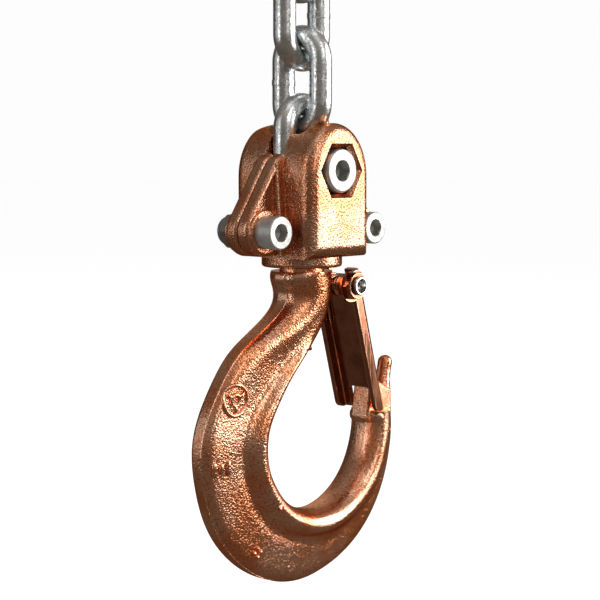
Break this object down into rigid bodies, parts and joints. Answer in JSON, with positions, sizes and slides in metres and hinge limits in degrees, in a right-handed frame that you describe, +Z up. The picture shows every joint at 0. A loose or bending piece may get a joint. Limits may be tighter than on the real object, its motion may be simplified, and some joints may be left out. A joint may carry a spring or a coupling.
{
  "type": "lever chain hoist bottom hook",
  "caption": "Copper-plated swivel load hook with sprung latch, on a two-part bottom block hung from short-link load chain; lower end of a lever chain hoist.",
  "frame": {"origin": "inner top of the highest chain link, where the rest of the load chain pulls", "axes": "+Z up along the chain, +X towards the hook's tip, -Y towards the screw heads"},
  "size_m": [0.0884, 0.0331, 0.2137],
  "materials": {
    "copper_cast": "copper plated over a rough casting",
    "copper_forged": "copper plated over a grit-blasted forging",
    "copper_sheet": "copper plated, smooth",
    "zinc_chain": "bright zinc plated",
    "stainless_screw": "stainless, bright turned",
    "steel_nut": "zinc plated, dull",
    "bearing_steel": "ground steel",
    "cage_brass": "pressed brass",
    "spring_steel": "copper washed spring wire"
  },
  "bodies": {
    "top_link": {"chain_link_top": "zinc_chain"},
    "third_link": {"chain_link_third": "zinc_chain"},
    "second_link": {"chain_link_second": "zinc_chain"},
    "lowest_link": {"chain_link_lowest": "zinc_chain"},
    "block": {"housing_front": "copper_cast", "housing_rear": "copper_cast", "chain_pin_screw": "stainless_screw", "chain_pin_nut": "steel_nut", "clamp_screw_left": "stainless_screw", "clamp_screw_right": "stainless_screw", "clamp_nut_left": "steel_nut", "clamp_nut_right": "steel_nut", "bearing_race_lower": "bearing_steel"},
    "bearing_cage": {"ball_cage": "cage_brass", "bearing_balls": "bearing_steel"},
    "hook_body": {"hook": "copper_forged", "hook_nut": "bearing_steel", "nut_lock_pin": "bearing_steel", "bearing_race_upper": "bearing_steel", "latch_bolt": "stainless_screw", "latch_nut": "copper_sheet", "latch_spring": "spring_steel"},
    "latch_body": {"latch": "copper_sheet"}
  },
  "joints": [
    {"name": "third_link_swing", "type": "hinge", "parent": "top_link", "child": "third_link", "pos_m": [0, 0, -0.0245], "axis": [0, 1, 0], "range_deg": [-35, 35]},
    {"name": "second_link_swing", "type": "hinge", "parent": "third_link", "child": "second_link", "pos_m": [0, 0, -0.04525], "axis": [1, 0, 0], "range_deg": [-35, 35]},
    {"name": "lowest_link_swing", "type": "hinge", "parent": "second_link", "child": "lowest_link", "pos_m": [0, 0, -0.066], "axis": [0, 1, 0], "range_deg": [-25, 25]},
    {"name": "block_swing", "type": "hinge", "parent": "lowest_link", "child": "block", "pos_m": [0, 0, -0.079], "axis": [0, 1, 0], "range_deg": [-9, 9]},
    {"name": "hook_swivel", "type": "hinge", "parent": "block", "child": "hook_body", "pos_m": [0, 0, -0.109], "axis": [0, 0, 1], "continuous": true},
    {"name": "cage_turn", "type": "hinge", "parent": "block", "child": "bearing_cage", "pos_m": [0, 0, -0.1002], "axis": [0, 0, 1], "continuous": true},
    {"name": "latch_hinge", "type": "hinge", "parent": "hook_body", "child": "latch_body", "pos_m": [0.0138, 0, -0.115], "axis": [0, 1, 0], "range_deg": [0, 50], "stiffness_Nm_per_rad": 0.06, "springref_deg": -34.38, "deforming": ["latch_spring"]}
  ],
  "couplings": [
    {"joint": "cage_turn", "follows": "hook_swivel", "ratio": 0.5}
  ]
}
